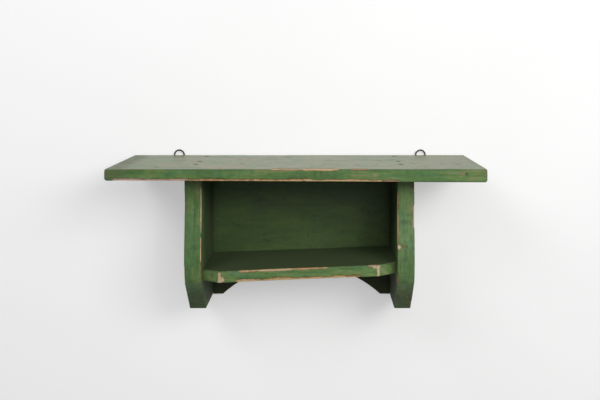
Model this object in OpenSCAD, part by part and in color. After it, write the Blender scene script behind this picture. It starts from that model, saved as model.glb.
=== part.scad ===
// Wall shelf of five nailed boards: a long top, two shaped side brackets, a lower shelf with
// its front corners cut off, and an arched back panel. It hangs from two iron rings.
//
// Axes: +X to the viewer's right, +Y towards the wall, +Z up.
// Origin: on the plane that bears on the wall, at the middle of the top's length and at half
// the height of the woodwork.

/* [Top board] */
// Length of the top board
top_w = 700; // [640:5:760]
// Depth of the top board, wall to front edge
top_d = 200; // [180:1:230]
// Thickness at the left end
top_t_left = 21.5; // [18:0.5:26]
// Thickness at the right end
top_t_right = 24.5; // [18:0.5:26]

/* [Case] */
// Height of the woodwork, from the brackets' feet to the top surface
body_h = 293.5; // [275:0.5:320]
// Width over the two brackets
case_w = 438.5; // [410:0.5:460]
// How far the case sits to the right of the top's middle
case_shift = 5; // [-10:1:10]

/* [Brackets] */
// Thickness of the left bracket
side_t_left = 32.5; // [27:0.5:34]
// Thickness of the right bracket
side_t_right = 33; // [27:0.5:34]
// Depth of a bracket under the top board
head_d = 146; // [142:1:149]
// Depth of a bracket beside the lower shelf, where its front edge swells forward
belly_d = 155; // [149:1:165]
// Depth of a bracket's foot
foot_d = 100; // [90:1:120]
// Height of the slanted cut that runs back to the foot
cut_h = 73.5; // [55:0.5:80]

/* [Lower shelf] */
// Thickness of the shelf
shelf_t = 22; // [18:0.5:26]
// Height of the shelf's upper face at its left end
shelf_z_left = -57; // [-66:0.5:-40]
// Height of the shelf's upper face at its right end
shelf_z_right = -43.5; // [-66:0.5:-40]
// Depth from the wall to the shelf's front edge, at the left
shelf_d_left = 155; // [138:1:160]
// Depth from the wall to the shelf's front edge, at the right
shelf_d_right = 149; // [138:1:160]
// Width of the cut front corner at the left
corner_w_left = 34.5; // [20:0.5:60]
// Width of the cut front corner at the right
corner_w_right = 35.5; // [20:0.5:60]
// Depth of the cut front corner at the left
corner_d_left = 18; // [10:0.5:30]
// Depth of the cut front corner at the right
corner_d_right = 16; // [10:0.5:30]

/* [Back panel] */
// Thickness of the back panel
back_t = 15; // [12:0.5:18]
// Width of the arch in its lower edge
arch_w = 332; // [260:1:340]
// Height of the arch
arch_h = 64; // [40:1:66]

/* [Hanging rings] */
// Outer diameter of a ring
ring_od = 23.5; // [20:0.5:28]
// Diameter of a ring's wire
ring_wire = 3.2; // [2:0.1:3.4]
// Height of the rings' centres above the top surface
ring_rise = 0; // [-2:0.5:1]
// Distance from the top's middle to the left ring
ring_x_left = 255; // [225:0.5:300]
// Distance from the top's middle to the right ring
ring_x_right = 257.5; // [240:0.5:300]
// Diameter of a staple's wire
staple_wire = 1.8; // [1.5:0.1:2.2]

/* [Nails] */
// Diameter of a nail's shank
nail_d = 2.8; // [2.2:0.1:3.4]
// Diameter of a nail's head
nail_head_d = 6.4; // [5.5:0.1:7.5]
// Length of the nails through the top board and the brackets
nail_l = 65; // [55:1:75]
// Length of the nails through the back panel
nail_l_back = 45; // [35:1:55]

/* [Hidden] */

$fn = 64;
green = "#4f6b3f";
iron = "#3c3a38";
far = 400;

// Levels of the woodwork
top_z = body_h / 2;
foot_z = -body_h / 2;
function under_z(x) = top_z - top_t_left - (top_t_right - top_t_left) * (x + top_w / 2) / top_w;

// The brackets' outer and inner faces
left_x = case_shift - case_w / 2;
right_x = case_shift + case_w / 2;
left_in = left_x + side_t_left;
right_in = right_x - side_t_right;
inner_w = right_in - left_in;

// Where the bracket's front edge starts to swell, and where it has its full depth
swell_top = 66;
swell_end = -44;
swell_steps = 16;
// Depth that the front edge has lost again at the top of the slanted cut
belly_return = 3;
cut_z = foot_z + cut_h;

// Height of the shelf's upper face at x
function shelf_z(x) = shelf_z_left + (shelf_z_right - shelf_z_left) * (x - left_in) / inner_w;
// Depth from the wall to the shelf's uncut front edge at x
function shelf_d(x) = shelf_d_left + (shelf_d_right - shelf_d_left) * (x - left_in) / inner_w;

// Circle of the arch, from its width and height
arch_r = (arch_w * arch_w / 4 + arch_h * arch_h) / (2 * arch_h);

// Ring and staple: the ring hangs in the staple's bow, on an axis behind the top's back edge
ring_r = (ring_od - ring_wire) / 2;
eye_r = ring_wire / 2 + 0.5;
bow_r = eye_r + staple_wire / 2;
axis_y = 2.4;
axis_z = top_z + ring_rise - ring_r;
staple_l = 13;

// Nails: the size of their heads and points, and where they are driven in
nail_head_h = 1.2;
nail_tip = 5;
top_nail_x_left = left_in - 12;
top_nail_x_right = right_in + 8;
top_nail_y = [-17, -95, -135];
shelf_nail_y = [-45, -110];
shelf_nail_x = [-110, 6, 122];
panel_nail_z = [85, -5, -118];

// A solid with the outline of its children in the YZ plane, from x on, w thick
module across(x, w) {
    translate([x, 0, 0]) rotate([90, 0, 90]) linear_extrude(height = w) children();
}

// A solid with the outline of its children in the XZ plane, from y_front back to y_back
module through(y_front, y_back) {
    translate([0, y_back, 0]) rotate([90, 0, 0])
        linear_extrude(height = y_back - y_front) children();
}

// One nail: the head's outer face at the origin, the shank along -Z
module nail(len) {
    translate([0, 0, -nail_head_h]) cylinder(d = nail_head_d, h = nail_head_h);
    translate([0, 0, nail_tip - len]) cylinder(d = nail_d, h = len - nail_tip - nail_head_h);
    translate([0, 0, -len]) cylinder(d1 = 0.4, d2 = nail_d, h = nail_tip);
}

// Everything below the top board's underside, which slants a little
module below_top() {
    through(-far, far) polygon([
        [-far, under_z(-far)], [far, under_z(far)], [far, -far], [-far, -far]
    ]);
}

module top_nails(x) {
    for (y = top_nail_y) translate([x, y, top_z]) nail(nail_l);
}

// Nails through a bracket: side is -1 for the left bracket and 1 for the right
module side_nail(side, y, z) {
    translate([side < 0 ? left_x : right_x, y, z]) rotate([0, side * 90, 0]) nail(nail_l);
}

module shelf_nails(side) {
    x = side < 0 ? left_in : right_in;
    for (y = shelf_nail_y) side_nail(side, y, shelf_z(x) - shelf_t / 2);
}

module panel_nails(side) {
    for (z = panel_nail_z) side_nail(side, -back_t / 2, z);
}

module shelf_nails_back() {
    for (x = shelf_nail_x)
        translate([x, 0, shelf_z(x) - shelf_t / 2]) rotate([-90, 0, 0]) nail(nail_l_back);
}

// Staple: two legs in the top's back edge, and a round bow behind it
module staple(x) {
    translate([x, axis_y, axis_z]) {
        for (s = [-1, 1]) translate([0, 0, s * bow_r]) {
            rotate([90, 0, 0]) cylinder(d = staple_wire, h = staple_l + axis_y - 3);
            translate([0, -(staple_l + axis_y - 3), 0]) rotate([90, 0, 0])
                cylinder(d1 = staple_wire, d2 = 0.3, h = 3);
        }
        rotate([90, 0, 90]) rotate([0, 0, -90]) rotate_extrude(angle = 180)
            translate([bow_r, 0]) circle(d = staple_wire);
    }
}

// Ring: standing up, with its lowest point in the staple's bow
module ring(x) {
    translate([x, axis_y, axis_z + ring_r]) rotate([90, 0, 0])
        rotate_extrude() translate([ring_r, 0]) circle(d = ring_wire);
}

module top_board() {
    color(green) difference() {
        through(-top_d, 0) polygon([
            [-top_w / 2, top_z], [top_w / 2, top_z],
            [top_w / 2, top_z - top_t_right], [-top_w / 2, top_z - top_t_left]
        ]);
        top_nails(top_nail_x_left);
        top_nails(top_nail_x_right);
        staple(-ring_x_left);
        staple(ring_x_right);
    }
}

// Outline of a bracket's front edge: half a wave out to the full depth, a slight return beside
// the lower shelf, a softened corner, and a straight slant back to the foot
function swell(t) = [
    -(head_d + (belly_d - head_d) * (1 - cos(180 * t)) / 2),
    swell_top + (swell_end - swell_top) * t
];
function return(t) = [-(belly_d - belly_return * t * t), swell_end + (cut_z - swell_end) * t];

module bracket_side() {
    polygon(concat(
        [[0, foot_z], [0, top_z], [-head_d, top_z]],
        [for (i = [0:swell_steps]) swell(i / swell_steps)],
        [for (t = [0.3, 0.6, 1]) return(t)],
        [[-(belly_d - belly_return) + 1.5, cut_z - 5], [-foot_d, foot_z]]
    ));
}

module bracket(side) {
    color(green) difference() {
        intersection() {
            across(side < 0 ? left_x : right_in, side < 0 ? side_t_left : side_t_right)
                bracket_side();
            below_top();
        }
        top_nails(side < 0 ? top_nail_x_left : top_nail_x_right);
        shelf_nails(side);
        panel_nails(side);
    }
}

// Plan of the lower shelf: a tapering board with its two front corners cut off
module shelf_plan() {
    polygon([
        [left_in, -back_t], [right_in, -back_t],
        [right_in, -(shelf_d(right_in) - corner_d_right)],
        [right_in - corner_w_right, -shelf_d(right_in - corner_w_right)],
        [left_in + corner_w_left, -shelf_d(left_in + corner_w_left)],
        [left_in, -(shelf_d(left_in) - corner_d_left)]
    ]);
}

module lower_shelf() {
    color(green) difference() {
        intersection() {
            translate([0, 0, -far]) linear_extrude(height = 2 * far) shelf_plan();
            through(-far, far) polygon([
                [left_in, shelf_z(left_in)], [right_in, shelf_z(right_in)],
                [right_in, shelf_z(right_in) - shelf_t], [left_in, shelf_z(left_in) - shelf_t]
            ]);
        }
        for (side = [-1, 1]) shelf_nails(side);
        shelf_nails_back();
    }
}

module back_panel() {
    color(green) difference() {
        intersection() {
            through(-back_t, 0) difference() {
                translate([left_in, foot_z]) square([inner_w, body_h]);
                translate([case_shift, foot_z + arch_h - arch_r]) circle(r = arch_r, $fn = 180);
            }
            below_top();
        }
        for (side = [-1, 1]) panel_nails(side);
        shelf_nails_back();
    }
}

top_board();
bracket(-1);  // bracket_left
bracket(1);  // bracket_right
lower_shelf();
back_panel();
color(iron) top_nails(top_nail_x_left);  // top_nails_left
color(iron) top_nails(top_nail_x_right);  // top_nails_right
color(iron) shelf_nails(-1);  // shelf_nails_left
color(iron) shelf_nails(1);  // shelf_nails_right
color(iron) shelf_nails_back();
color(iron) panel_nails(-1);  // panel_nails_left
color(iron) panel_nails(1);  // panel_nails_right
color(iron) staple(-ring_x_left);  // staple_left
color(iron) staple(ring_x_right);  // staple_right
color(iron) ring(-ring_x_left);  // ring_left
color(iron) ring(ring_x_right);  // ring_right
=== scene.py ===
import math

import bmesh
import bpy
import numpy as np
from bpy.props import FloatProperty, FloatVectorProperty, IntProperty, PointerProperty
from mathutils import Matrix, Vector


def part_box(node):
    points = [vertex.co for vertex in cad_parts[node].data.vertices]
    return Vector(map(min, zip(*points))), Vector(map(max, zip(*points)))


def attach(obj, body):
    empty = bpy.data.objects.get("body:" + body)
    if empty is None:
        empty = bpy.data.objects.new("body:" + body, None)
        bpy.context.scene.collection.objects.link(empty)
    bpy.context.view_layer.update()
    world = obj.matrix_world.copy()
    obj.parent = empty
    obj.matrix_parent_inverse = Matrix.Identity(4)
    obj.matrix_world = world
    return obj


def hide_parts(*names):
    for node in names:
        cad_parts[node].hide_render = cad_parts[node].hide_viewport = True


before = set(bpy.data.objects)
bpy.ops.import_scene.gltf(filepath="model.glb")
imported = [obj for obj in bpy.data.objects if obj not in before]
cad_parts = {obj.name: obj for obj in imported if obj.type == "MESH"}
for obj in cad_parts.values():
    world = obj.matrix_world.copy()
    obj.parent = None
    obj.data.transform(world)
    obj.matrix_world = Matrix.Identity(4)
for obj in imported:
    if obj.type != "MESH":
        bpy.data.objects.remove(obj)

bl_info = {
    "name": "Painted Wall Shelf",
    "version": (1, 0, 0),
    "blender": (4, 5, 0),
    "location": "3D View > Sidebar > Wall Shelf",
    "description": "Worn, painted boards, old nails and iron hanging rings for a wall shelf, and its room",
    "category": "Add Mesh",
}

BODY = "shelf"
MM = 0.001


# ---------------------------------------------------------------- settings a user would change

class PaintSettings(bpy.types.PropertyGroup):
    """Colours of the paint, of the coats under it and of the bare wood."""

    top: FloatVectorProperty(name="Top", description="Paint on the top board", subtype="COLOR", size=3,
        default=(0.097, 0.200, 0.057), min=0, max=1)
    bracket_left: FloatVectorProperty(name="Left bracket", description="Paint on the left bracket",
        subtype="COLOR", size=3, default=(0.084, 0.182, 0.055), min=0, max=1)
    bracket_right: FloatVectorProperty(name="Right bracket", description="Paint on the right bracket",
        subtype="COLOR", size=3, default=(0.108, 0.204, 0.066), min=0, max=1)
    shelf: FloatVectorProperty(name="Lower shelf", description="Paint on the lower shelf",
        subtype="COLOR", size=3, default=(0.104, 0.212, 0.066), min=0, max=1)
    # the back panel's green is darker than the other boards': it is partly painted shade for the niche
    panel: FloatVectorProperty(name="Back panel", description="Paint on the back panel",
        subtype="COLOR", size=3, default=(0.046, 0.092, 0.023), min=0, max=1)
    primer: FloatVectorProperty(name="Primer", description="Pink first coat under the green",
        subtype="COLOR", size=3, default=(0.43, 0.255, 0.185), min=0, max=1)
    cream: FloatVectorProperty(name="Cream coat", description="Old cream coat that shows in the chips",
        subtype="COLOR", size=3, default=(0.54, 0.45, 0.28), min=0, max=1)
    wood: FloatVectorProperty(name="Bare wood", description="Wood where every coat is gone",
        subtype="COLOR", size=3, default=(0.52, 0.36, 0.165), min=0, max=1)
    iron: FloatVectorProperty(name="Iron", description="Rings and staples", subtype="COLOR", size=3,
        default=(0.016, 0.014, 0.012), min=0, max=1)


class WearSettings(bpy.types.PropertyGroup):
    """How worn the woodwork is."""

    arris: FloatProperty(name="Arris radius", description="Rounding of the boards' long edges",
        subtype="DISTANCE", unit="LENGTH", default=1.4 * MM, min=0.5 * MM, max=5 * MM)
    rub: FloatProperty(name="Rubbed depth", description="Wood lost where an edge is rubbed bare",
        subtype="DISTANCE", unit="LENGTH", default=0.6 * MM, min=0, max=3 * MM)
    wave: FloatProperty(name="Waviness", description="Deepest hollow that hand planing left",
        subtype="DISTANCE", unit="LENGTH", default=0.35 * MM, min=0, max=1.5 * MM)
    seed: IntProperty(name="Seed", description="Changes every random mark", default=4, min=0)


class RoomSettings(bpy.types.PropertyGroup):
    """Wall, floor, light and camera."""

    wall_gap: FloatProperty(name="Gap to the wall", description="Clear space behind the rings",
        subtype="DISTANCE", unit="LENGTH", default=0.5 * MM, min=0, max=0.05)
    floor_drop: FloatProperty(name="Floor level", description="Height of the floor below the shelf",
        subtype="DISTANCE", unit="LENGTH", default=-1.35, min=-3, max=-0.2)
    wall_glow: FloatProperty(name="Wall glow", description="Light that the backdrop itself gives off",
        default=0.40, min=0, max=1)
    window: FloatProperty(name="Window", description="Power of the main light, from the right",
        subtype="POWER", default=33.5, min=0)
    front: FloatProperty(name="Front light", description="Power of the soft light in front",
        subtype="POWER", default=13.0, min=0)
    left: FloatProperty(name="Left light", description="Power of the soft light from the upper left",
        subtype="POWER", default=22.0, min=0)
    behind: FloatProperty(name="Rear light", description="Power of the light behind the wall",
        subtype="POWER", default=16.0, min=0)
    sky_high: FloatProperty(name="Light from above",
        description="Strength of the room's light from above", default=0.12, min=0, max=3)
    sky_mid: FloatProperty(name="Light from higher up",
        description="Strength of the room's light between", default=0.10, min=0, max=3)
    sky_low: FloatProperty(name="Light from around",
        description="Strength of the room's light from the sides", default=0.46, min=0, max=3)
    sky_lean: FloatProperty(name="Lean", description="How much brighter the room is on the right",
        default=0.6, min=-1, max=1)
    sky_under: FloatProperty(name="Light from below",
        description="Strength of the room's light from below", default=0.15, min=0, max=3)
    sky_behind: FloatProperty(name="Light from behind",
        description="Share of the room's light behind the wall", default=0.25, min=0, max=1)
    lens: FloatProperty(name="Lens", description="Focal length on a 36 mm wide sensor", default=39.6,
        min=10, max=200)


# ---------------------------------------------------------------- random fields and edge wear

PRIMES = (374761393, 668265263, 2246822519, 3266489917)
WORD = 0xFFFFFFFF


def lattice_noise(p, seed):
    """Smooth random numbers from -1 to 1 at the points p: every corner of a unit lattice has a
    number hashed from its indices, and the eight corners round a point are blended smoothly."""
    cell = np.floor(p).astype(np.int64)
    f = p - cell
    w = f * f * (3 - 2 * f)
    total = np.zeros(p.shape[:-1])
    for corner in range(8):
        step = np.array([corner >> 2 & 1, corner >> 1 & 1, corner & 1])
        i = cell + step
        h = sum(i[..., n] * PRIMES[n] for n in range(3)) + seed * PRIMES[3]
        h = (h & WORD) ^ ((h & WORD) >> 15)
        h = h * PRIMES[2] & WORD
        h = (h ^ h >> 13) * PRIMES[3] & WORD
        h = h ^ h >> 16
        total += np.prod(np.where(step, w, 1 - w), axis=-1) * (2 * h / WORD - 1)
    return total


def rough_noise(p, size, seed, octaves=3):
    """Sum of lattice noises, each half as large and half as strong as the one before; size is
    the largest feature's, in metres."""
    total = np.zeros(p.shape[:-1])
    for k in range(octaves):
        total += lattice_noise(p * (2 ** k / size) + 31.7 * k, seed + 17 * k) / 2 ** k
    return total / (2 - 0.5 ** (octaves - 1))


def smooth(x, low, high):
    """0 below low, 1 above high, and a smooth step between."""
    t = np.clip((x - low) / (high - low), 0, 1)
    return t * t * (3 - 2 * t)


def fall(x, low, high):
    """1 below low, 0 above high, and a smooth step between."""
    return 1 - smooth(x, low, high)


def stretch_of(s, start, end, fade):
    """1 for s between start and end, falling to 0 over fade outside them."""
    return smooth(s, start - fade, start) * fall(s, end, end + fade)


# ---------------------------------------------------------------- boards

CORNER_STEPS = 4
END_STEPS = 5
CROWDING = 0.7
CAP_STEP = 3.5 * MM


def section_points(sides):
    """Points round a rounded rectangle. Each is a place (p, q) on the rectangle of the corner
    arcs' centres, from -1 to 1 each way, and a unit direction (u, v) out to the edge. Points
    crowd towards the ends of each side, as a share of a line and a share of a sine."""
    out = []
    turn = np.linspace(0, math.pi / 2, CORNER_STEPS + 1)
    one = np.ones_like(turn)
    for quarter in range(4):
        t = np.linspace(-1, 1, sides[quarter % 2] + 1)[1:-1]
        t = (1 - CROWDING) * t + CROWDING * np.sin(t * math.pi / 2)
        side = np.stack([1 + 0 * t, t, 1 + 0 * t, 0 * t])
        arc = np.stack([one, one, np.cos(turn), np.sin(turn)])
        c, s = round(math.cos(quarter * math.pi / 2)), round(math.sin(quarter * math.pi / 2))
        p, q, u, v = np.concatenate([side, arc], axis=1)
        out.append(np.stack([c * p - s * q, s * p + c * q, c * u - s * v, s * u + c * v]))
    return np.concatenate(out, axis=1)


def end_stations(low, high, step, round_r, cap_depth):
    """Stations along a board: (place, inset, tilt). The flat ends are rings inset from the
    middle outwards, a quarter circle rounds each end's arris, and the rest are even steps."""
    caps = np.linspace(cap_depth, round_r, max(3, int(cap_depth / CAP_STEP)))[:-1]
    rows = [(low, d, -90.0) for d in caps]
    for tilt in np.linspace(90, 0, END_STEPS):
        a = math.radians(tilt)
        rows.append((low + round_r * (1 - math.sin(a)), round_r * (1 - math.cos(a)), -tilt))
    n = int((high - low - 2 * round_r) / step)
    rows += [(s, 0.0, 0.0) for s in np.linspace(low + round_r, high - round_r, n + 1)[1:-1]]
    other = rows[:len(caps) + END_STEPS][::-1]
    rows += [(high - (s - low), d, -tilt) for s, d, tilt in other]
    return np.array(rows).T


class Board:
    """A rounded rectangle carried along a straight axis. Its four sides are functions of the
    place along the axis. Every point knows its place, its outward direction, and how far it
    lies from each of the four long arrises and from the end arrises."""

    def __init__(self, along, low, high, a_sides, b_sides, radius, end_radius, step, points):
        self.along = along
        p, q, u, v = section_points(points[::-1])
        probe = np.linspace(low, high, 50)
        cap = min(np.min(side(probe)[1] - side(probe)[0]) for side in (a_sides, b_sides)) / 2
        s, inset, tilt = end_stations(low, high, step, end_radius, cap * 0.999)
        a0, a1 = a_sides(s)
        b0, b1 = b_sides(s)
        half_a = np.maximum((a1 - a0) / 2 - inset, 1e-7)
        half_b = np.maximum((b1 - b0) / 2 - inset, 1e-7)
        r = np.minimum(np.minimum(half_a, half_b), np.maximum(radius - inset * 0.5, 0.2 * MM))
        mid_a, mid_b = (a0 + a1) / 2, (b0 + b1) / 2
        a = mid_a[:, None] + p * (half_a - r)[:, None] + u * r[:, None]
        b = mid_b[:, None] + q * (half_b - r)[:, None] + v * r[:, None]
        self.s = np.repeat(s[:, None], len(p), axis=1)
        lean = np.radians(tilt)[:, None]
        self.place = self.to_xyz(self.s, a, b)
        self.out = self.to_xyz(np.sin(lean) + 0 * a, np.cos(lean) * u, np.cos(lean) * v)
        # how far each point is from the arrises (+a+b, -a+b, -a-b, +a-b), along a and along b
        self.arris = [(np.abs(a - ca[:, None]), np.abs(b - cb[:, None]))
                      for ca, cb in ((a1, b1), (a0, b1), (a0, b0), (a1, b0))]
        # and how far from the arrises round the ends
        on_end = np.abs(tilt)[:, None] > 89
        self.end = np.where(on_end, inset[:, None], np.minimum(self.s - low, high - self.s) + end_radius)
        self.face = [p * 0 + (u > 0.7), p * 0 + (u < -0.7), p * 0 + (v > 0.7), p * 0 + (v < -0.7)]
        self.wear = np.zeros(a.shape)
        self.tone = np.full(a.shape, 0.5)
        self.raw = np.zeros(a.shape)
        # darkening that stands for soiling and for painted shade
        self.grime = np.zeros(a.shape)

    def to_xyz(self, s, a, b):
        """Main axis X: the section lies in Y and Z. Main axis Z: it lies in X and Y."""
        parts = (s, a, b) if self.along == "X" else (a, b, s)
        return np.stack(parts, axis=-1)

    def push(self, depth):
        """Moves the surface inwards by depth."""
        self.place -= self.out * depth[..., None]

    def bare(self, near, strength, tone, depth):
        """Rubs the paint off where near is above 0, most where it is 1, and takes wood away."""
        amount = strength * np.clip(near, 0, 1)
        self.tone = np.where(amount > self.wear, tone, self.tone)
        self.wear = np.maximum(self.wear, amount)
        self.push(depth * smooth(near, 0.15, 0.9))

    def rub(self, arris, spans, widths, depth, seed):
        """Rubs an arris bare along spans of (start, end, strength, tone). The band is as wide as
        the two widths, one for each face, times a factor that wanders along the arris."""
        line = self.place * (np.array([1, 0, 0]) if self.along == "X" else np.array([0, 0, 1]))
        wander = rough_noise(line + arris * 0.37, 20 * MM, seed, 4)
        across = self.arris[arris][0] / widths[0] + self.arris[arris][1] / widths[1]
        for start, end, strength, tone in spans:
            factor = np.maximum((1 + 0.5 * wander) * stretch_of(self.s, start, end, 7 * MM), 0.05)
            self.bare(1.35 - across / factor, strength, tone, depth)

    def rub_ends(self, width, strength, tone, depth, seed):
        """Rubs the arrises round both ends here and there, where slow noise is high."""
        patchy = smooth(rough_noise(self.place, 24 * MM, seed, 3), -0.15, 0.35)
        self.bare(1.35 - self.end / (width * patchy + 0.1 * MM), strength, tone, depth)

    def flake(self, point, reach, strength, tone, depth, seed):
        """Flakes the paint off an oval patch with a rough rim; reach is its half size each way."""
        away = np.linalg.norm((self.place - np.array(point)) / np.array(reach), axis=-1)
        rough = rough_noise(self.place, 5 * MM, seed, 3)
        self.bare(1.5 - away * (1 + 0.5 * rough), strength, tone, depth)

    def chip(self, point, normal, reach, tone, seed, strength=1.0):
        """Cuts off what stands beyond a rough slanted plane near a point."""
        point, normal = np.array(point), np.array(normal, float)
        normal /= np.linalg.norm(normal)
        away = np.linalg.norm(self.place - point, axis=-1)
        rough = rough_noise(self.place, 4 * MM, seed, 3) * 0.5 * MM
        above = np.maximum((self.place - point) @ normal + rough, 0) * (away < reach)
        self.place -= normal * above[..., None]
        mark = smooth(above, 0.05 * MM, 0.5 * MM) * strength
        self.tone = np.where(mark > self.wear, tone, self.tone)
        self.wear = np.maximum(self.wear, mark)

    def dent(self, point, radius, depth, stain=0.0):
        """Presses a round hollow: a bell curve of the distance to the point. Dirt may fill it."""
        away = np.linalg.norm(self.place - np.array(point), axis=-1)
        bell = np.exp(-(away / radius) ** 2)
        self.push(depth * bell)
        self.grime = np.maximum(self.grime, stain * bell)

    def soil_and_shade(self, amount):
        """Darkens where amount is above the darkening already there: it stands for soiling and for painted
        shade.
        """
        self.grime = np.maximum(self.grime, np.clip(amount, 0, 1))

    def bare_face(self, face, amount=1.0):
        """Leaves a whole face unpainted; faces are 0: +a, 1: -a, 2: +b, 3: -b."""
        edge = np.minimum.reduce([da + db for da, db in self.arris])
        self.raw = np.maximum(self.raw, amount * self.face[face] * smooth(edge, 1 * MM, 6 * MM))

    def finish(self, name, material, wave, seed):
        """Adds the waviness of hand planing, and makes the mesh. The innermost ring of each end
        is left open: a hairline where the board is at its thinnest, and wider where it is thicker."""
        self.push(wave * (0.5 + 0.5 * rough_noise(self.place, 55 * MM, seed + 5, 3)))
        edge = np.minimum(np.minimum.reduce([da + db for da, db in self.arris]), self.end)
        # every arris is darkened: soiled, and painted shade where the rounding turns away
        self.soil_and_shade(0.42 * fall(edge, 0.5 * MM, 4.5 * MM))
        values = {"wear": self.wear, "tone": self.tone, "raw": self.raw, "grime": self.grime}
        return new_piece(name, self.place.reshape(-1, 3), ring_faces(*self.s.shape), material, values)


def ring_faces(rows, columns, closed=False):
    """Four-cornered faces between rows of points, each row a ring; closed joins last to first."""
    i, j = np.meshgrid(np.arange(rows if closed else rows - 1), np.arange(columns), indexing="ij")
    near, far, k = i * columns, (i + 1) % rows * columns, (j + 1) % columns
    return np.stack([near + j, near + k, far + k, far + j], -1).reshape(-1, 4)


def new_piece(name, points, quads, material, values=None, merge=2e-6):
    """A mesh object at the origin from arrays of points, four-cornered faces and point values.
    The faces are turned outwards if the volume that they close comes out negative."""
    a, b, c, d = (points[quads[:, n]] for n in range(4))
    volume = (a * np.cross(b, c)).sum() + (a * np.cross(c, d)).sum()
    if volume < 0:
        quads = quads[:, ::-1]
    mesh = bpy.data.meshes.new(name)
    mesh.vertices.add(len(points))
    mesh.vertices.foreach_set("co", points.ravel())
    mesh.loops.add(quads.size)
    mesh.loops.foreach_set("vertex_index", quads.ravel())
    mesh.polygons.add(len(quads))
    mesh.polygons.foreach_set("loop_start", np.arange(0, quads.size, 4))
    for key, value in (values or {}).items():
        layer = mesh.attributes.new(key, "FLOAT", "POINT")
        layer.data.foreach_set("value", np.ascontiguousarray(value, dtype=np.float32).ravel())
    mesh.update(calc_edges=True)
    work = bmesh.new()
    work.from_mesh(mesh)
    bmesh.ops.remove_doubles(work, verts=work.verts, dist=merge)
    bmesh.ops.dissolve_degenerate(work, edges=work.edges, dist=merge)
    for face in work.faces:
        face.smooth = True
    work.to_mesh(mesh)
    work.free()
    mesh.materials.append(material)
    return linked(name, mesh)


def linked(name, data):
    """A new object in the scene, at the origin."""
    thing = bpy.data.objects.new(name, data)
    bpy.context.scene.collection.objects.link(thing)
    return thing


# ---------------------------------------------------------------- materials

class Nodes:
    """A node tree and short ways to add to it."""

    def __init__(self, tree):
        self.tree = tree

    def add(self, kind, *values, **settings):
        """A node; values fill its inputs in order (None leaves one alone)."""
        node = self.tree.nodes.new("ShaderNode" + kind)
        for key, value in settings.items():
            setattr(node, key, value)
        for socket, value in zip(node.inputs, values):
            self.fill(socket, value)
        return node

    def fill(self, socket, value):
        """Links a socket to another, or sets its value."""
        if isinstance(value, bpy.types.NodeSocket):
            self.tree.links.new(value, socket)
        elif value is not None:
            socket.default_value = value

    def fill_all(self, node, values):
        """Fills a node's sockets by name."""
        for name, value in values.items():
            self.fill(node.inputs[name], value)

    def math(self, operation, a, b, c=None, clamp=False):
        """The result of one sum on two or three values."""
        return self.add("Math", a, b, c, operation=operation, use_clamp=clamp).outputs[0]

    def times(self, a, b):
        return self.math("MULTIPLY", a, b)

    def plus(self, a, b, clamp=False):
        return self.math("ADD", a, b, clamp=clamp)

    def minus(self, a, b):
        return self.math("SUBTRACT", a, b)

    def most(self, a, b):
        return self.math("MAXIMUM", a, b)

    def noise(self, vector, scale, detail, rough, distortion=0.0):
        """Soft noise from 0 to 1 at a vector."""
        node = self.add("TexNoise")
        self.fill_all(node, {"Vector": vector, "Scale": scale, "Detail": detail, "Roughness": rough,
                             "Distortion": distortion})
        return node.outputs["Fac"]

    def ramp(self, value, *stops):
        """A colour ramp through (position, colour or grey) stops."""
        node = self.add("ValToRGB", value)
        elements = node.color_ramp.elements
        while len(elements) < len(stops):
            elements.new(0.5)
        for element, (position, colour) in zip(elements, stops):
            element.position = position
            element.color = (*colour, 1) if isinstance(colour, (tuple, list)) else (colour,) * 3 + (1,)
        return node.outputs["Color"]

    def step(self, value, low, high):
        """0 below low to 1 above high, smoothly."""
        node = self.add("MapRange", value, low, high, 0.0, 1.0, interpolation_type="SMOOTHSTEP")
        return node.outputs[0]

    def mix(self, factor, a, b, blend="MIX"):
        """Colour a mixed with colour b by the factor."""
        node = self.add("Mix", data_type="RGBA", blend_type=blend)
        self.fill(node.inputs[0], factor)
        for socket, value in ((node.inputs[6], a), (node.inputs[7], b)):
            self.fill(socket, (*value, 1) if isinstance(value, (tuple, list)) and len(value) == 3 else value)
        return node.outputs[2]

    def point_value(self, name):
        """A number stored on the mesh's points."""
        return self.add("Attribute", attribute_name=name, attribute_type="GEOMETRY").outputs["Fac"]


class Finish(Nodes):
    """A material, started afresh."""

    def __init__(self, name):
        old = bpy.data.materials.get(name)
        if old:
            bpy.data.materials.remove(old)
        self.material = bpy.data.materials.new(name)
        self.material.use_nodes = True
        super().__init__(self.material.node_tree)
        self.tree.nodes.clear()
        self.where = self.add("TexCoord").outputs["Object"]

    def stretched(self, scale, move):
        """Object coordinates, moved, and scaled differently along each axis."""
        return self.add("Mapping", self.where, move, None, scale).outputs[0]

    def shader(self, values):
        """A surface shader with its sockets filled by name."""
        node = self.add("BsdfPrincipled")
        self.fill_all(node, values)
        return node.outputs[0]

    def surface(self, colour, roughness, height, depth, metallic=0.0, specular=0.5):
        """Closes the material with a shader whose bumps are depth high."""
        bump = self.add("Bump")
        self.fill_all(bump, {"Strength": 1.0, "Distance": depth, "Height": height})
        self.add("OutputMaterial", self.shader({
            "Base Color": colour, "Roughness": roughness, "Normal": bump.outputs[0],
            "Metallic": metallic, "Specular IOR Level": specular}))
        return self.material


def shade(colour, share, own=(0, 0, 0)):
    """A colour times a share, one for all or one for each channel, plus a colour of its own."""
    shares = share if isinstance(share, tuple) else (share,) * 3
    return tuple(min(1, c * k + more) for c, k, more in zip(colour, shares, own))


# shares of the paint's colour
YELLOWER = (1.24, 1.14, 0.95)
BLUER = (0.62, 0.98, 1.50)
# the darkened green is for soiling and for painted shade
DIRTIED_AND_SHADED = (0.26, 0.24, 0.22)
# shares of the coats under it
STAINED_WOOD = (0.72, 0.58, 0.48)
CLEAN_PRIMER = (1.15, 1.30, 1.35)
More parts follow.
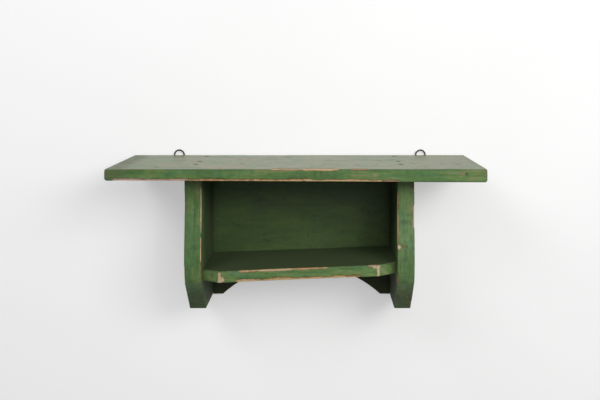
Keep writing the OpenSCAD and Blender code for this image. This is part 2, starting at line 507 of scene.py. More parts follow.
# colours of their own
DIRT_AND_SHADE_TINT = (0.010, 0.007, 0.004)
DUST_AND_SHEEN = (0.275, 0.212, 0.140)
TORN_RIM = (0.075, 0.045, 0.018)
SPECK = (0.030, 0.026, 0.018)
OLD_PINE = ((0.3, (0.075, 0.050, 0.030)), (0.5, (0.170, 0.118, 0.070)), (0.72, (0.250, 0.185, 0.115)))
RUST = (0.090, 0.036, 0.016)
NAIL_RUST = (0.040, 0.022, 0.013)
# heights of the bumps
PAINT_RELIEF = 0.40 * MM
IRON_RELIEF = 0.25 * MM
NAIL_RELIEF = 0.30 * MM


def old_paint(name, green, along, seed, gloss, thin, mottle=1.0, dust_and_sheen=0.0):
    """Old satin paint, brushed on along the grain over a pink primer and a cream coat, rubbed
    to the wood where the piece's point values say so. thin is how much the coats under it show,
    mottle how uneven it is, and dust_and_sheen how strong a pale film of dusty deposit and
    painted sheen lies on what faces up."""
    coats = bpy.context.scene.shelf_paint
    f = Finish(name)
    move = (seed * 1.7, seed * 0.9, seed * 1.3)
    grain, slow = ((1, 11, 11), (1, 3.2, 3.2)) if along == "X" else ((11, 11, 1), (3.2, 3.2, 1))
    wide = f.stretched((1, 1, 1), move)
    long = f.stretched(grain, move)
    drift = f.stretched(slow, move)

    patches = f.noise(drift, 9, 4, 0.6)
    streaks = f.noise(long, 14, 4, 0.62, 0.4)
    hairs = f.noise(long, 80, 3, 0.6)
    mottles = f.noise(wide, 105, 4, 0.62)
    spots = f.noise(wide, 250, 2, 0.5)

    # the brush left it yellower and bluer, thicker and thinner
    colour = f.mix(f.step(patches, 0.36, 0.66), shade(green, 0.84), shade(green, YELLOWER))
    blue = f.noise(drift, 21, 3, 0.55, 0.6)
    colour = f.mix(f.times(f.step(blue, 0.54, 0.70), 0.55 * mottle), colour, shade(green, BLUER))
    for pattern, *stops in ((streaks, (0.28, 0.74), (0.5, 1.0), (0.74, 1.22)),
                            (hairs, (0.3, 0.86), (0.72, 1.12)),
                            (mottles, (0.34, 0.84), (0.52, 1.0), (0.70, 1.14))):
        colour = f.mix(mottle, colour, f.ramp(pattern, *stops), "MULTIPLY")

    # thin paint: the primer tints it in rubs along the grain
    thin_paint = f.plus(f.plus(f.times(hairs, 0.45), f.times(patches, 0.6)), f.times(streaks, 0.4))
    rubbed = f.times(f.step(thin_paint, 0.72, 0.90), thin)
    colour = f.mix(rubbed, colour, shade(coats.primer, 0.72))
    # a pale film on what faces up: dusty deposit, and painted sheen for the glancing light on the top
    if dust_and_sheen:
        up = f.add("SeparateXYZ", f.add("NewGeometry").outputs["Normal"]).outputs["Z"]
        bands = f.noise(f.stretched((1, 2.6, 1), move), 17, 5, 0.62, 0.5)
        cover = f.step(f.plus(f.times(bands, 0.75), f.times(streaks, 0.25)), 0.38, 0.62)
        colour = f.mix(f.times(f.times(cover, f.step(up, 0.6, 0.95)), dust_and_sheen), colour, DUST_AND_SHEEN)

    # darkening from the points' values, which carry soiling along the arrises and round the nails and painted
    # shade in the recesses, and soiling in its own patches
    ragged = f.plus(f.times(f.noise(wide, 200, 4, 0.65), 0.5), f.times(f.noise(long, 46, 3, 0.65), 0.5))
    loose = f.minus(ragged, 0.5)
    film = f.step(f.plus(f.noise(wide, 34, 4, 0.65), f.times(hairs, 0.25)), 0.70, 0.86)
    dirt_and_shade = f.plus(f.point_value("grime"), f.times(loose, 0.9), clamp=True)
    dirt_and_shade = f.most(f.times(f.step(dirt_and_shade, 0.10, 0.75), 0.95), f.times(film, 0.55))
    colour = f.mix(dirt_and_shade, colour, shade(green, DIRTIED_AND_SHADED, DIRT_AND_SHADE_TINT))

    # the worn places: a dark ragged rim, then the stained wood or an old coat, then clean wood
    worn = f.plus(f.point_value("wear"), f.times(loose, 1.25))
    tone = f.point_value("tone")
    rim = f.step(worn, 0.13, 0.20)
    first = f.step(worn, 0.27, 0.34)
    second = f.step(f.plus(worn, f.times(f.minus(mottles, 0.5), 0.9)), 0.52, 0.66)
    under = f.ramp(tone, (0.0, shade(coats.primer, 0.80)), (0.5, shade(coats.wood, STAINED_WOOD)),
                   (1.0, shade(coats.cream, 0.66)))
    clean = f.ramp(tone, (0.0, shade(coats.primer, CLEAN_PRIMER)), (0.5, tuple(coats.wood)),
                   (1.0, tuple(coats.cream)))
    fibres = f.ramp(f.noise(long, 130, 3, 0.65), (0.30, 0.62), (0.62, 1.15))
    colour = f.mix(f.times(rim, 0.85), colour, TORN_RIM)
    colour = f.mix(first, colour, under)
    colour = f.mix(second, colour, clean)
    colour = f.mix(first, colour, f.mix(1.0, colour, fibres, "MULTIPLY"))

    # unpainted faces: grey-brown old pine
    raw = f.step(f.plus(f.point_value("raw"), f.times(loose, 0.9)), 0.4, 0.5)
    rings = f.noise(f.stretched((1.2, 16, 16) if along == "X" else (16, 16, 1.2), move), 9, 4, 0.6, 1.2)
    pine = f.mix(1.0, f.ramp(rings, *OLD_PINE), f.ramp(hairs, (0.3, 0.8), (0.7, 1.15)), "MULTIPLY")
    colour = f.mix(raw, colour, pine)

    dots = f.step(spots, 0.715, 0.76)
    colour = f.mix(f.times(dots, 0.75), colour, SPECK)

    rough = f.plus(gloss, f.times(f.minus(streaks, 0.5), 0.30))
    dull = f.most(f.most(first, raw), dirt_and_shade)
    rough = f.plus(rough, f.times(dull, 0.32), clamp=True)
    height = f.plus(f.plus(f.times(streaks, 0.5), f.times(hairs, 0.45)), f.times(mottles, 0.25))
    height = f.minus(f.minus(height, f.times(first, 0.5)), f.times(dots, 0.4))
    return f.surface(colour, rough, height, PAINT_RELIEF)


def old_iron(name, colour, rust):
    """Dark iron with patches of brown rust."""
    f = Finish(name)
    patches = f.noise(f.where, 190, 4, 0.65)
    fine = f.noise(f.where, 900, 3, 0.6)
    both = f.plus(f.times(patches, 0.7), f.times(fine, 0.3))
    rusty = f.times(f.step(both, 0.48, 0.64), rust)
    base = f.mix(rusty, tuple(colour), RUST)
    base = f.mix(1.0, base, f.ramp(fine, (0.3, 0.7), (0.7, 1.3)), "MULTIPLY")
    rough = f.plus(0.42, f.times(both, 0.4))
    return f.surface(base, rough, both, IRON_RELIEF, metallic=0.1, specular=0.35)


# ---------------------------------------------------------------- places taken from the frame

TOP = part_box("top_board")
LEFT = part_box("bracket_left")
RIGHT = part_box("bracket_right")
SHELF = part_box("lower_shelf")
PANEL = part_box("back_panel")

TOP_T_LEFT = 21.5 * MM
TOP_T_RIGHT = 24.5 * MM
SHELF_T = 22 * MM
SHELF_FRONT_RIGHT = -149 * MM
SHELF_TAPER = 6 * MM
CORNER_W_LEFT = 34.5 * MM
CORNER_W_RIGHT = 35.5 * MM
CORNER_LEFT = 18 * MM
CORNER_RIGHT = 16 * MM
HEAD_Y = -146 * MM
SWELL_TOP = 66 * MM
SWELL_END = -44 * MM
BELLY_RETURN = 3 * MM
CUT_Z = LEFT[0].z + 73.5 * MM
FOOT_Y = -100 * MM
# the slant's upper end lies this far out and down from the belly's corner, and blends over this
CUT_OUT = 1.5 * MM
CUT_DROP = 5 * MM
CUT_SOFT = 4 * MM
ARCH_W = 332 * MM
ARCH_H = 64 * MM
ARCH_X = (LEFT[0].x + RIGHT[1].x) / 2

TOP_NAIL_X = {"left": LEFT[1].x - 12 * MM, "right": RIGHT[0].x + 8 * MM}
TOP_NAIL_Y = (-0.017, -0.095, -0.135)
PANEL_NAIL_Y = (PANEL[0].y + PANEL[1].y) / 2
PANEL_NAIL_Z = (0.085, -0.005, -0.118)
SHELF_NAIL_X = (-0.110, 0.006, 0.122)
SHELF_NAIL_Y = (-0.045, -0.110)
NAIL_SUNK = 1.3 * MM


def under_top(x):
    """The top's underside: a straight slant from its left end's thickness to its right end's."""
    t = (x - TOP[0].x) / (TOP[1].x - TOP[0].x)
    return TOP[1].z - TOP_T_LEFT - (TOP_T_RIGHT - TOP_T_LEFT) * t


def bracket_front(z):
    """The bracket's front edge: half a cosine wave out to the full depth, a slight return
    beside the shelf, then a straight slant back to the foot."""
    full, foot = LEFT[0].y, LEFT[0].z
    wave = np.clip((SWELL_TOP - z) / (SWELL_TOP - SWELL_END), 0, 1)
    edge = HEAD_Y + (full - HEAD_Y) * (1 - np.cos(np.pi * wave)) / 2
    back = np.clip((SWELL_END - z) / (SWELL_END - CUT_Z), 0, 1)
    edge = edge + BELLY_RETURN * back ** 2
    slant = FOOT_Y + (full + BELLY_RETURN + CUT_OUT - FOOT_Y) * (z - foot) / (CUT_Z - CUT_DROP - foot)
    gap = slant - edge
    return np.where(gap > CUT_SOFT, slant, edge + np.maximum(gap + CUT_SOFT, 0) ** 2 / (4 * CUT_SOFT))


def shelf_top(x):
    """The lower shelf's upper face slants evenly up to the right."""
    t = (x - SHELF[0].x) / (SHELF[1].x - SHELF[0].x)
    return SHELF[0].z + SHELF_T + (SHELF[1].z - SHELF[0].z - SHELF_T) * t


def shelf_middle(x):
    """Half way between the lower shelf's faces."""
    return float(shelf_top(x)) - SHELF_T / 2


def shelf_front(x):
    """The lower shelf's front edge: a straight taper with both corners cut off straight."""
    left, right = SHELF[0].x, SHELF[1].x
    taper = SHELF_FRONT_RIGHT - SHELF_TAPER * (right - x) / (right - left)
    cut_left = CORNER_LEFT * np.clip(1 - (x - left) / CORNER_W_LEFT, 0, 1)
    cut_right = CORNER_RIGHT * np.clip(1 - (right - x) / CORNER_W_RIGHT, 0, 1)
    return taper + cut_left + cut_right


def panel_foot(x):
    """The back panel's lower edge: straight, with one arc of a circle cut into it."""
    radius = (ARCH_W ** 2 / 4 + ARCH_H ** 2) / (2 * ARCH_H)
    rise = np.sqrt(np.maximum(radius ** 2 - (x - ARCH_X) ** 2, 0)) - radius + ARCH_H
    return PANEL[0].z + np.maximum(rise, 0)


def flat(low, high):
    """Two parallel sides."""
    return lambda s: (np.full_like(s, low), np.full_like(s, high))


def on_shelf(piece, *nodes, slot):
    """The piece stands for its CAD nodes and goes with the woodwork."""
    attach(piece, BODY)
    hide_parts(*nodes)


SHELF_END_Z = {"bracket_left": shelf_middle(SHELF[0].x), "bracket_right": shelf_middle(SHELF[1].x)}


# ---------------------------------------------------------------- the boards

class SHELF_OT_top(bpy.types.Operator):
    """Make the long top board"""

    bl_idname = "wall_shelf.top"
    bl_label = "Top Board"

    def execute(self, context):
        paint, wear = context.scene.shelf_paint, context.scene.shelf_wear
        material = old_paint("top paint", tuple(paint.top), "X", wear.seed, gloss=0.42, thin=0.75, dust_and_sheen=0.68)
        front, face = TOP[0].y, TOP[1].z
        board = Board("X", TOP[0].x, TOP[1].x, flat(front, TOP[1].y),
                      lambda s: (under_top(s), np.full_like(s, face)),
                      wear.arris, 3.0 * MM, 2 * MM, (44, 10))
        # arris 2 is the front's lower edge, arris 1 its upper edge, arris 0 the back's upper one; each
        # worn span is its start, its end, how bare it is and which coat shows
        board.rub(2, [(-0.330, -0.200, 0.92, 0.02)], (5 * MM, 4.4 * MM), wear.rub, 10)
        board.rub(2, [(-0.196, -0.086, 0.62, 0.42), (-0.076, 0.012, 0.78, 0.5), (0.018, 0.154, 1.0, 0.58),
                      (0.162, 0.186, 0.55, 0.2)], (7 * MM, 4.6 * MM), wear.rub, 11)
        board.rub(1, [(-0.042, -0.016, 0.70, 0.6), (-0.012, 0.006, 0.62, 0.3), (0.016, 0.074, 1.0, 0.62),
                      (0.104, 0.128, 0.42, 0.5)], (9 * MM, 2.4 * MM), wear.rub * 0.6, 12)
        board.rub(0, [(-0.104, -0.030, 0.72, 0.05)], (3.6 * MM, 5 * MM), wear.rub * 0.4, 13)
        board.rub_ends(2.0 * MM, 0.20, 0.35, wear.rub * 0.4, 14)
        nick = -0.0815
        board.chip((nick, front + 1.2 * MM, under_top(nick) + 1.6 * MM), (0.2, -1, -0.8), 5 * MM, 0.3, 3)
        board.dent((nick, front, under_top(nick) + 2 * MM), 3 * MM, 0.5 * MM, 1.0)
        for sign in (-1, 1):
            end = TOP[1].x * sign
            board.chip((end - sign * 1.5 * MM, front + 1.5 * MM, face - 8 * MM), (sign, -1, 0.1),
                       30 * MM, 0.4, 5 + sign, 0.20)
            board.chip((end - sign * 2 * MM, front + 3 * MM, face - 1.4 * MM), (sign * 0.7, -0.5, 0.8),
                       14 * MM, 0.45, 9 + sign, 0.22)
            board.chip((end - sign * 1.8 * MM, front + 2.0 * MM, under_top(end) + 1.8 * MM),
                       (sign, -0.8, -0.9), 14 * MM, 0.3, 12 + sign, 0.22)
        board.dent((0.311, front, face - 10 * MM), 3.0 * MM, 1.1 * MM, 0.7)
        board.flake((0.303, front, face - 9 * MM), (3 * MM, 3 * MM, 2 * MM), 0.5, 0.9, 0.3 * MM, 15)
        board.dent((-0.118, -0.072, face), 9 * MM, 0.5 * MM, 0.35)
        board.dent((0.075, -0.158, face), 5 * MM, 0.6 * MM, 0.3)
        for x in TOP_NAIL_X.values():
            for y in TOP_NAIL_Y:
                board.dent((x, y, face), 5.6 * MM, NAIL_SUNK, 1.0)
        # the left end is the dirtiest, and its paint has weathered off the front in patches
        from_left, from_right = board.s - TOP[0].x, TOP[1].x - board.s
        board.soil_and_shade(0.40 * fall(from_left, 0.020, 0.060)
                   + 0.25 * fall(from_right, 0.004, 0.020))
        board.raw = np.maximum(board.raw, 0.385 * board.face[1] * fall(from_left, 0.030, 0.080))
        # the end arrises are darkened: soiled, and painted shade where the rounding turns away
        board.soil_and_shade(0.9 * fall(board.end, 2 * MM, 5 * MM))
        board.bare_face(0, 0.8)
        piece = board.finish("top_board_painted", material, wear.wave, wear.seed)
        on_shelf(piece, "top_board", slot="top_board_wood")
        return {"FINISHED"}


class SHELF_OT_brackets(bpy.types.Operator):
    """Make the two shaped side brackets"""

    bl_idname = "wall_shelf.brackets"
    bl_label = "Brackets"

    def execute(self, context):
        paint, wear = context.scene.shelf_paint, context.scene.shelf_wear
        # each: its name, its box, its paint, its outer side, its inner and outer front arrises and
        # their worn spans
        plans = (
            ("bracket_left", LEFT, paint.bracket_left, -1, 3, 2,
             [(0.020, 0.100, 0.85, 0.9), (-0.034, 0.006, 0.90, 0.7), (-0.062, -0.046, 0.45, 0.5)],
             [(0.06, 0.09, 0.30, 0.3), (-0.075, -0.05, 0.40, 0.5)]),
            ("bracket_right", RIGHT, paint.bracket_right, 1, 2, 3,
             [(-0.002, 0.092, 0.80, 0.6), (-0.078, -0.062, 0.45, 0.5)],
             [(0.030, 0.066, 1.0, 0.0), (0.098, 0.112, 0.5, 0.2), (-0.145, -0.13, 0.4, 0.5)]),
        )
        for seed, plan in enumerate(plans, 1):
            name, (low, high), colour, side, inner, outer, inner_spans, outer_spans = plan
            material = old_paint(name.replace("_", " ") + " paint", tuple(colour), "Z", wear.seed + seed,
                                 gloss=0.46, thin=0.35)
            board = Board("Z", low.z, high.z, flat(low.x, high.x),
                          lambda s: (bracket_front(s), np.full_like(s, high.y)),
                          wear.arris * 0.75, 2.4 * MM, 2 * MM, (12, 32))
            board.rub(inner, inner_spans, (2.1 * MM, 3.2 * MM), wear.rub * 0.8, 21 + seed)
            board.rub(outer, outer_spans, (3.0 * MM, 4 * MM), wear.rub * 0.7, 31 + seed)
            board.rub_ends(2.0 * MM, 0.32, 0.5, wear.rub * 0.4, 24 + seed)
            if side > 0:
                height = -10 * MM
                front = float(bracket_front(np.array(height)))
                board.flake((low.x + 3.6 * MM, front, height), (3.4 * MM, 5 * MM, 4.4 * MM),
                            0.95, 1.0, 0.5 * MM, 6)
                board.flake((low.x + 14 * MM, front, height + 2 * MM), (6 * MM, 4 * MM, 2 * MM),
                            0.22, 0.8, 0.2 * MM, 9)
            face = low.x if side < 0 else high.x
            nails = [(PANEL_NAIL_Y, z) for z in PANEL_NAIL_Z] + [(y, SHELF_END_Z[name]) for y in SHELF_NAIL_Y]
            for y, z in nails:
                board.dent((face, y, z), 4.4 * MM, NAIL_SUNK, 0.8)
            # painted shade: every face darker towards the foot, whose slant faces down
            board.soil_and_shade(0.54 * fall(board.s, low.z + 0.03, low.z + 0.09))
            # painted shade on the inner face, more towards the back and towards the foot
            depth = board.arris[inner][1]
            board.soil_and_shade(board.face[0 if side < 0 else 1] * (0.30 + 0.35 * smooth(depth, 0, 0.06)
                                                           + 0.3 * fall(board.s, -0.09, -0.06)))
            board.bare_face(2, 1.0)
            piece = board.finish(name + "_painted", material, wear.wave * 0.8, wear.seed + seed)
            on_shelf(piece, name, slot=name + "_wood")
        return {"FINISHED"}


class SHELF_OT_lower_shelf(bpy.types.Operator):
    """Make the lower shelf with its cut corners"""

    bl_idname = "wall_shelf.lower_shelf"
    bl_label = "Lower Shelf"

    def execute(self, context):
        paint, wear = context.scene.shelf_paint, context.scene.shelf_wear
        material = old_paint("lower shelf paint", tuple(paint.shelf), "X", wear.seed + 3,
                             gloss=0.46, thin=0.4)
        board = Board("X", SHELF[0].x, SHELF[1].x, lambda s: (shelf_front(s), np.full_like(s, SHELF[1].y)),
                      lambda s: (shelf_top(s) - SHELF_T, shelf_top(s)),
                      wear.arris * 0.9, 0.6 * MM, 1.6 * MM, (34, 12))
        board.rub(1, [(-0.106, -0.074, 0.60, 0.6), (-0.070, -0.012, 0.90, 0.7), (-0.004, 0.022, 0.62, 0.6),
                      (0.028, 0.056, 0.55, 0.6), (0.140, 0.155, 0.6, 0.9)],
                  (4.6 * MM, 3.4 * MM), wear.rub * 0.7, 41)
        board.rub(2, [(-0.112, -0.068, 0.95, 0.6), (-0.062, -0.002, 1.0, 0.5), (0.004, 0.090, 1.0, 0.5),
                      (0.094, 0.118, 0.5, 0.5)], (6 * MM, 5.0 * MM), wear.rub * 0.9, 42)

        # the ridges where the cut corners meet the front are knocked back to the cream coat. Each
        # has one chip, as its place, direction, reach and seed, and then flakes, as their place,
        # reach, strength, tone, depth and seed; lengths are in millimetres from the ridge's top
        ridges = (
            (SHELF[0].x + CORNER_W_LEFT, ((0.5, 0.7, -14), (-0.25, -1, -0.1), 10, 7), (
                ((0, 0, -10), (2.3, 6, 8.5), 1.0, 0.85, 0.5, 17),
                ((4, 0, -15), (5, 6, 4), 0.95, 0.85, 0.4, 18),
                ((-15, 8, -9), (2, 6, 4), 0.30, 0.90, 0.1, 20))),
            (SHELF[1].x - CORNER_W_RIGHT, ((-0.5, 0.7, -10), (0.25, -1, 0), 11, 8), (
                ((-0.5, 0, -11), (1.8, 6, 8.5), 1.0, 1.0, 0.5, 18),
                ((-6, 0, -4), (5.5, 6, 2.2), 0.9, 1.0, 0.4, 19))),
        )
        for ridge, (offset, direction, reach, seed), flakes in ridges:
            top = np.array([ridge, float(shelf_front(np.array(ridge))), float(shelf_top(ridge))])
            board.chip(top + np.array(offset) * MM, direction, reach * MM, 1.0, seed)
            for offset, reach, bare, tone, depth, seed in flakes:
                board.flake(top + np.array(offset) * MM, np.array(reach) * MM, bare, tone, depth * MM, seed)

        # painted shade on the upper face under the top board, darkest towards the back and the ends; the
        # underside is darker too
        inside = np.minimum(board.s - SHELF[0].x, SHELF[1].x - board.s)
        depth = board.arris[1][0]
        board.soil_and_shade(board.face[2] * (0.84 * smooth(depth, 0.0, 0.006) + 0.16 * smooth(depth, 0.02, 0.12)
                                    + 0.3 * fall(inside, 0, 0.07)))
        board.soil_and_shade(board.face[3] * 0.4)
        piece = board.finish("lower_shelf_painted", material, wear.wave * 0.6, wear.seed + 3)
        on_shelf(piece, "lower_shelf", slot="lower_shelf_wood")
        return {"FINISHED"}


class SHELF_OT_back_panel(bpy.types.Operator):
    """Make the arched back panel"""

    bl_idname = "wall_shelf.back_panel"
    bl_label = "Back Panel"

    def execute(self, context):
        paint, wear = context.scene.shelf_paint, context.scene.shelf_wear
        material = old_paint("back panel paint", tuple(paint.panel), "X", wear.seed + 4,
                             gloss=0.5, thin=0.0, mottle=0.36)
        front = PANEL[0].y
        board = Board("X", PANEL[0].x, PANEL[1].x, flat(front, PANEL[1].y),
                      lambda s: (panel_foot(s), under_top(s)), wear.arris * 0.6, 0.5 * MM, 2 * MM, (8, 64))
        board.rub(2, [(-0.17, 0.18, 0.30, 0.5)], (2.0 * MM, 2.0 * MM), wear.rub * 0.5, 51)
        for x in (-0.0762, 0.0177):
            board.dent((x, front, -0.0230), 2.2 * MM, 1.0 * MM, 0.6)
        board.dent((-0.032, front, 0.052), 7 * MM, 0.5 * MM, 0.3)
        for x in SHELF_NAIL_X:
            board.dent((x, PANEL[1].y, shelf_middle(x)), 4.2 * MM, NAIL_SUNK, 0.8)

        # painted shade in the niche's corners and on the panel below the shelf
        inside = np.minimum(board.s - PANEL[0].x, PANEL[1].x - board.s)
        height = board.place[..., 2]
        board.soil_and_shade(0.40 * fall(inside, 0, 0.030))
        board.soil_and_shade(0.62 * fall(height - shelf_top(board.s), -0.020, -0.004))
        board.bare_face(0, 1.0)
        piece = board.finish("back_panel_painted", material, wear.wave * 0.7, wear.seed + 4)
        on_shelf(piece, "back_panel", slot="back_panel_wood")
        return {"FINISHED"}


# ---------------------------------------------------------------- ironwork

# (radius, height) down a nail, in millimetres from the wood's face
NAIL_PROFILE = ((0.0, -0.45), (1.2, -0.5), (2.2, -0.66), (2.8, -0.9), (2.95, -1.15), (2.7, -1.45),
                (1.5, -1.75), (1.4, -2.2), (1.38, -12.0), (1.34, -30.0), (1.3, -36.0), (0.9, -39.0),
                (0.0, -41.0))
NAIL_AROUND = 20
NAIL_UNEVEN = 0.12
NAIL_LUMP = 2.2
WIRE_AROUND = 14
RING_AROUND = 96


def nails(spots, seed):
    """The nail's profile turned about each nail's axis. spots are (place, direction) pairs. The
    radius wanders a little with the angle, as hammered metal's does."""
    radius, height = np.array(NAIL_PROFILE).T * MM
    angle = np.linspace(0, 2 * np.pi, NAIL_AROUND, endpoint=False)
    points, faces = [], []
    one = ring_faces(len(radius), NAIL_AROUND)
    for n, (place, direction) in enumerate(spots):
        turn = Vector((0, 0, 1)).rotation_difference(Vector(direction)).to_matrix()
        circle = np.stack([NAIL_LUMP * np.cos(angle), NAIL_LUMP * np.sin(angle), 0 * angle + n + seed], -1)
        r = radius[:, None] * (1 + NAIL_UNEVEN * lattice_noise(circle, 5))
        local = np.stack([r * np.cos(angle), r * np.sin(angle), height[:, None] + 0 * r], -1).reshape(-1, 3)
        points.append(local @ np.array(turn).T + np.array(place))
        faces.append(one + n * len(local))
    return np.concatenate(points), np.concatenate(faces)


class SHELF_OT_nails(bpy.types.Operator):
    """Make the nails' sunk, hammered heads and their shanks"""

    bl_idname = "wall_shelf.nails"
    bl_label = "Nails"

    def execute(self, context):
        paint = context.scene.shelf_paint
        f = Finish("painted nails")
        patches = f.noise(f.where, 260, 3, 0.6)
        rusty = f.step(patches, 0.44, 0.58)
        base = f.mix(rusty, shade(paint.top, 0.45), NAIL_RUST)
        material = f.surface(base, f.plus(0.45, f.times(patches, 0.3)), patches, NAIL_RELIEF, 0.15)
        up, left, right = (0, 0, 1), (-1, 0, 0), (1, 0, 0)
        top_z, left_x, right_x = TOP[1].z, LEFT[0].x, RIGHT[1].x
        left_z, right_z = SHELF_END_Z["bracket_left"], SHELF_END_Z["bracket_right"]
        groups = {
            "top_nails_left": [((TOP_NAIL_X["left"], y, top_z), up) for y in TOP_NAIL_Y],
            "top_nails_right": [((TOP_NAIL_X["right"], y, top_z), up) for y in TOP_NAIL_Y],
            "shelf_nails_left": [((left_x, y, left_z), left) for y in SHELF_NAIL_Y],
            "shelf_nails_right": [((right_x, y, right_z), right) for y in SHELF_NAIL_Y],
            "shelf_nails_back": [((x, PANEL[1].y, shelf_middle(x)), (0, 1, 0)) for x in SHELF_NAIL_X],
            "panel_nails_left": [((left_x, PANEL_NAIL_Y, z), left) for z in PANEL_NAIL_Z],
            "panel_nails_right": [((right_x, PANEL_NAIL_Y, z), right) for z in PANEL_NAIL_Z],
        }
        for n, (node, spots) in enumerate(groups.items()):
            piece = new_piece(node + "_hammered", *nails(spots, n * 10), material)
            on_shelf(piece, node, slot="painted_nail")
        return {"FINISHED"}


def wire(centre_line, normals, binormals, radius, closed=True):
    """A round wire: circles of the given radius in the plane across a centre line."""
    angle = np.linspace(0, 2 * np.pi, WIRE_AROUND, endpoint=False)[:, None]
    circle = normals[:, None, :] * np.cos(angle) + binormals[:, None, :] * np.sin(angle)
    points = centre_line[:, None, :] + radius[:, None, None] * circle
    return points.reshape(-1, 3), ring_faces(len(centre_line), WIRE_AROUND, closed)


class SHELF_OT_rings(bpy.types.Operator):
    """Make the hanging rings and the staples that hold them"""

    bl_idname = "wall_shelf.rings"
    bl_label = "Rings and Staples"

    def execute(self, context):
        iron = tuple(context.scene.shelf_paint.iron)
        ring_iron = old_iron("ring iron", iron, 0.55)
        staple_iron = old_iron("staple iron", iron, 0.8)
        for side, bent in (("left", 0.0), ("right", 0.35 * MM)):
            low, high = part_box(f"ring_{side}")
            centre = (np.array(low) + np.array(high)) / 2
            wire_r = (high.y - low.y) / 2
            middle = (high.z - low.z) / 2 - wire_r
            # a circle, drawn in a little at its shoulders where it was bent, its wire a little thinner here and
            # there
            start, end = -np.pi / 2, 1.5 * np.pi
            angle = np.linspace(start, end, RING_AROUND, endpoint=False)
            away = smooth(angle, start + 0.5, start + 1.1) * fall(angle, end - 1.1, end - 0.5)
            spare = away * (0.10 * MM + bent * np.sin(angle * 2 + 0.6) ** 2)
            out = np.stack([np.cos(angle), 0 * angle, np.sin(angle)], -1)
            line = centre + out * (middle - spare)[:, None]
            thin = wire_r * (1 - 0.02 * (1 + lattice_noise(out * 3.0 + 7, 9)))
            across = np.tile([0.0, 1.0, 0.0], (len(angle), 1))
            piece = new_piece(f"ring_{side}_forged", *wire(line, out, across, thin), ring_iron)
            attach(piece, f"ring_{side}")
            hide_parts(f"ring_{side}")

            # the staple: in along one leg, half round the bow, and out along the other
            s_low, s_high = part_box(f"staple_{side}")
            r = (s_high.x - s_low.x) / 2
            bow = (s_high.z - s_low.z) / 2 - r
            axis = np.array([(s_low.x + s_high.x) / 2, s_high.y - r - bow, (s_low.z + s_high.z) / 2])
            leg = np.linspace(s_low.y + 0.2 * MM, axis[1], 14)[:-1]
            turn = np.linspace(-np.pi / 2, np.pi / 2, 25)
            y = np.concatenate([leg, axis[1] + bow * np.cos(turn), leg[::-1]])
            z = np.concatenate([0 * leg - bow, bow * np.sin(turn), 0 * leg + bow])
            line = np.stack([0 * y + axis[0], y, axis[2] + z], -1)
            heading = np.gradient(line, axis=0)
            heading /= np.linalg.norm(heading, axis=1)[:, None]
            across = np.tile([1.0, 0.0, 0.0], (len(y), 1))
            normal = np.cross(heading, across)
            ends = np.minimum(np.arange(len(y)), np.arange(len(y))[::-1])
            radius = r * np.clip(0.02 + ends / 3.5, 0, 0.97)
            piece = new_piece(f"staple_{side}_forged", *wire(line, normal, across, radius, closed=False),
                              staple_iron, merge=3e-5)
            on_shelf(piece, f"staple_{side}", slot="staple_iron")
        return {"FINISHED"}


# ---------------------------------------------------------------- the room

WALL_GREYS = (0.590, 0.612)
FLOOR_GREYS = (0.78, 0.84)
ROOM_HALF = 4.0
ROOM_TOP = 3.0
# each light's name, which is its setting's too, its place, size and colour
LIGHTS = (("window", (1.51, -1.93, 1.14), (1.3, 1.0), (1.0, 0.99, 0.975)),
          ("front", (0.42, -2.41, 1.14), (1.6, 0.9), (1.0, 1.0, 1.0)),
          ("left", (-1.33, -1.58, 1.74), (1.3, 1.0), (0.985, 0.99, 1.0)),
          ("behind", (0.0, 2.2, 0.9), (2.0, 1.2), (1.0, 1.0, 1.0)))
SKY_TINT = (0.98, 0.99, 1.0)
SKY_FADE = 0.3
EYE = (0.045, -1.3957, 0.3289)
EYE_DIP = 1.99
FRAME_SHIFT = (-0.0341, -0.18)


def plain_plane(name, corners, material):
    """One flat face that belongs to the stage."""
    mesh = bpy.data.meshes.new(name)
    mesh.from_pydata([tuple(c) for c in corners], [], [(0, 1, 2, 3)])
    mesh.materials.append(material)
    plane = linked(name, mesh)
    return plane


def area_light(name, place, size, colour, power):
    """An area light that points at the origin."""
    light = bpy.data.lights.new(name, "AREA")
    light.shape = "RECTANGLE"
    light.size, light.size_y = size
    light.energy = power
    light.color = colour
    lamp = linked(name, light)
    lamp.location = place
    lamp.rotation_mode = "QUATERNION"
    lamp.rotation_quaternion = (-Vector(place)).to_track_quat("-Z", "Y")


def room_sky(room):
    """The world's light: its strength changes with the height of the direction that it comes
    from, leans to one side by a share of that direction's X, and drops behind the wall."""
    world = bpy.data.worlds.new("room light")
    world.use_nodes = True
    sky = Nodes(world.node_tree)
    way = sky.add("SeparateXYZ", sky.add("TexCoord").outputs["Generated"]).outputs
    heights = ((-0.10, room.sky_under), (0.10, room.sky_low), (0.25, room.sky_low), (0.45, room.sky_mid),
               (0.65, room.sky_mid), (0.85, room.sky_high))
    colour = sky.ramp(sky.add("MapRange", way["Z"], -1.0, 1.0, 0.0, 1.0).outputs[0],
                      *[((height + 1) / 2, shade(SKY_TINT, strength)) for height, strength in heights])
    lean = sky.math("MULTIPLY_ADD", way["X"], room.sky_lean, 1.0)
    rear = sky.add("MapRange", way["Y"], 0.0, SKY_FADE, 1.0, room.sky_behind).outputs[0]
    sky.fill_all(sky.tree.nodes["Background"], {"Color": colour, "Strength": sky.times(lean, rear)})
    return world


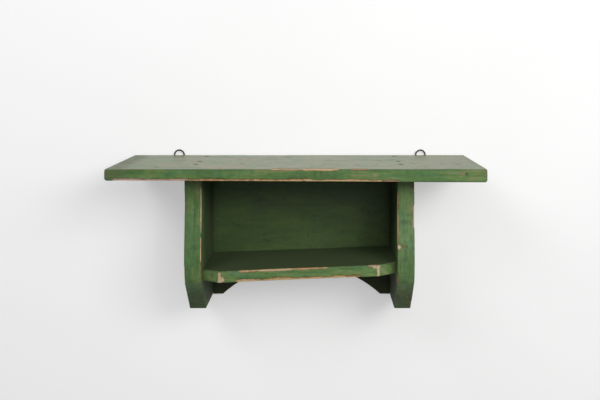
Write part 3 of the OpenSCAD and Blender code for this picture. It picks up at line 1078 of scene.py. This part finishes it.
class SHELF_OT_room(bpy.types.Operator):
    """Make the wall, the floor, the lights and the camera"""

    bl_idname = "wall_shelf.room"
    bl_label = "Wall, Floor and Lights"

    def execute(self, context):
        room = context.scene.shelf_room
        back = max(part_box(f"{kind}_{side}")[1].y for kind in ("ring", "staple") for side in ("left", "right"))
        back += room.wall_gap
        wide, high, low = ROOM_HALF, ROOM_TOP, room.floor_drop

        # the wall is seen from the front only, and lets the light behind it through
        f = Finish("wall plaster")
        tint = f.ramp(f.noise(f.where, 3.0, 3, 0.5), (0.3, WALL_GREYS[0]), (0.7, WALL_GREYS[1]))
        plaster = f.shader({"Base Color": tint, "Roughness": 0.9, "Specular IOR Level": 0.1,
                            "Emission Color": (1.0, 1.0, 1.0, 1.0), "Emission Strength": room.wall_glow})
        one_sided = f.add("MixShader", f.add("NewGeometry").outputs["Backfacing"], plaster,
                          f.add("BsdfTransparent").outputs[0])
        f.add("OutputMaterial", one_sided.outputs[0])
        wall = plain_plane("wall", [(x, back, z) for x, z in (
            (-wide, low), (wide, low), (wide, high), (-wide, high))], f.material)
        wall.visible_diffuse = False
        wall.visible_shadow = False

        f = Finish("floor paint")
        tint = f.ramp(f.noise(f.where, 2.0, 3, 0.5), (0.3, FLOOR_GREYS[0]), (0.7, FLOOR_GREYS[1]))
        f.add("OutputMaterial", f.shader({"Base Color": tint, "Roughness": 0.85}))
        floor = plain_plane("floor", [(x, y, low) for x, y in (
            (-wide, -wide), (wide, -wide), (wide, wide), (-wide, wide))], f.material)
        floor.visible_diffuse = False

        context.scene.world = room_sky(room)
        for light in LIGHTS:
            area_light(*light, getattr(room, light[0]))

        data = bpy.data.cameras.new("camera")
        data.sensor_width = 36
        data.lens = room.lens
        data.shift_x, data.shift_y = FRAME_SHIFT
        data.clip_start, data.clip_end = 0.05, 30
        camera = linked("camera", data)
        camera.location = EYE
        camera.rotation_euler = (math.radians(90 - EYE_DIP), 0, 0)
        context.scene.camera = camera
        context.scene.view_settings.view_transform = "Standard"
        context.scene.view_settings.look = "None"
        return {"FINISHED"}


class SHELF_PT_panel(bpy.types.Panel):
    """The wall shelf's settings and steps"""

    bl_idname = "SHELF_PT_panel"
    bl_label = "Wall Shelf"
    bl_space_type = "VIEW_3D"
    bl_region_type = "UI"
    bl_category = "Wall Shelf"

    def draw(self, context):
        for settings in (context.scene.shelf_paint, context.scene.shelf_wear, context.scene.shelf_room):
            box = self.layout.box()
            for key in settings.__annotations__:
                box.prop(settings, key)
        for operator in OPERATORS:
            self.layout.operator(operator.bl_idname)


SETTINGS = {"shelf_paint": PaintSettings, "shelf_wear": WearSettings, "shelf_room": RoomSettings}
OPERATORS = (SHELF_OT_room, SHELF_OT_top, SHELF_OT_brackets, SHELF_OT_lower_shelf, SHELF_OT_back_panel,
             SHELF_OT_nails, SHELF_OT_rings)


def register():
    """Adds the settings, the operators and the panel."""
    for group in (*SETTINGS.values(), *OPERATORS, SHELF_PT_panel):
        bpy.utils.register_class(group)
    for key, group in SETTINGS.items():
        setattr(bpy.types.Scene, key, PointerProperty(type=group))


def unregister():
    """Takes away what register added."""
    for key in SETTINGS:
        delattr(bpy.types.Scene, key)
    for group in (SHELF_PT_panel, *reversed(OPERATORS), *reversed(SETTINGS.values())):
        bpy.utils.unregister_class(group)


def main():
    """Makes everything."""
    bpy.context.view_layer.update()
    register()
    bpy.ops.wall_shelf.room()
    bpy.ops.wall_shelf.top()
    bpy.ops.wall_shelf.brackets()
    bpy.ops.wall_shelf.lower_shelf()
    bpy.ops.wall_shelf.back_panel()
    bpy.ops.wall_shelf.nails()
    bpy.ops.wall_shelf.rings()


if __name__ == "__main__":
    main()
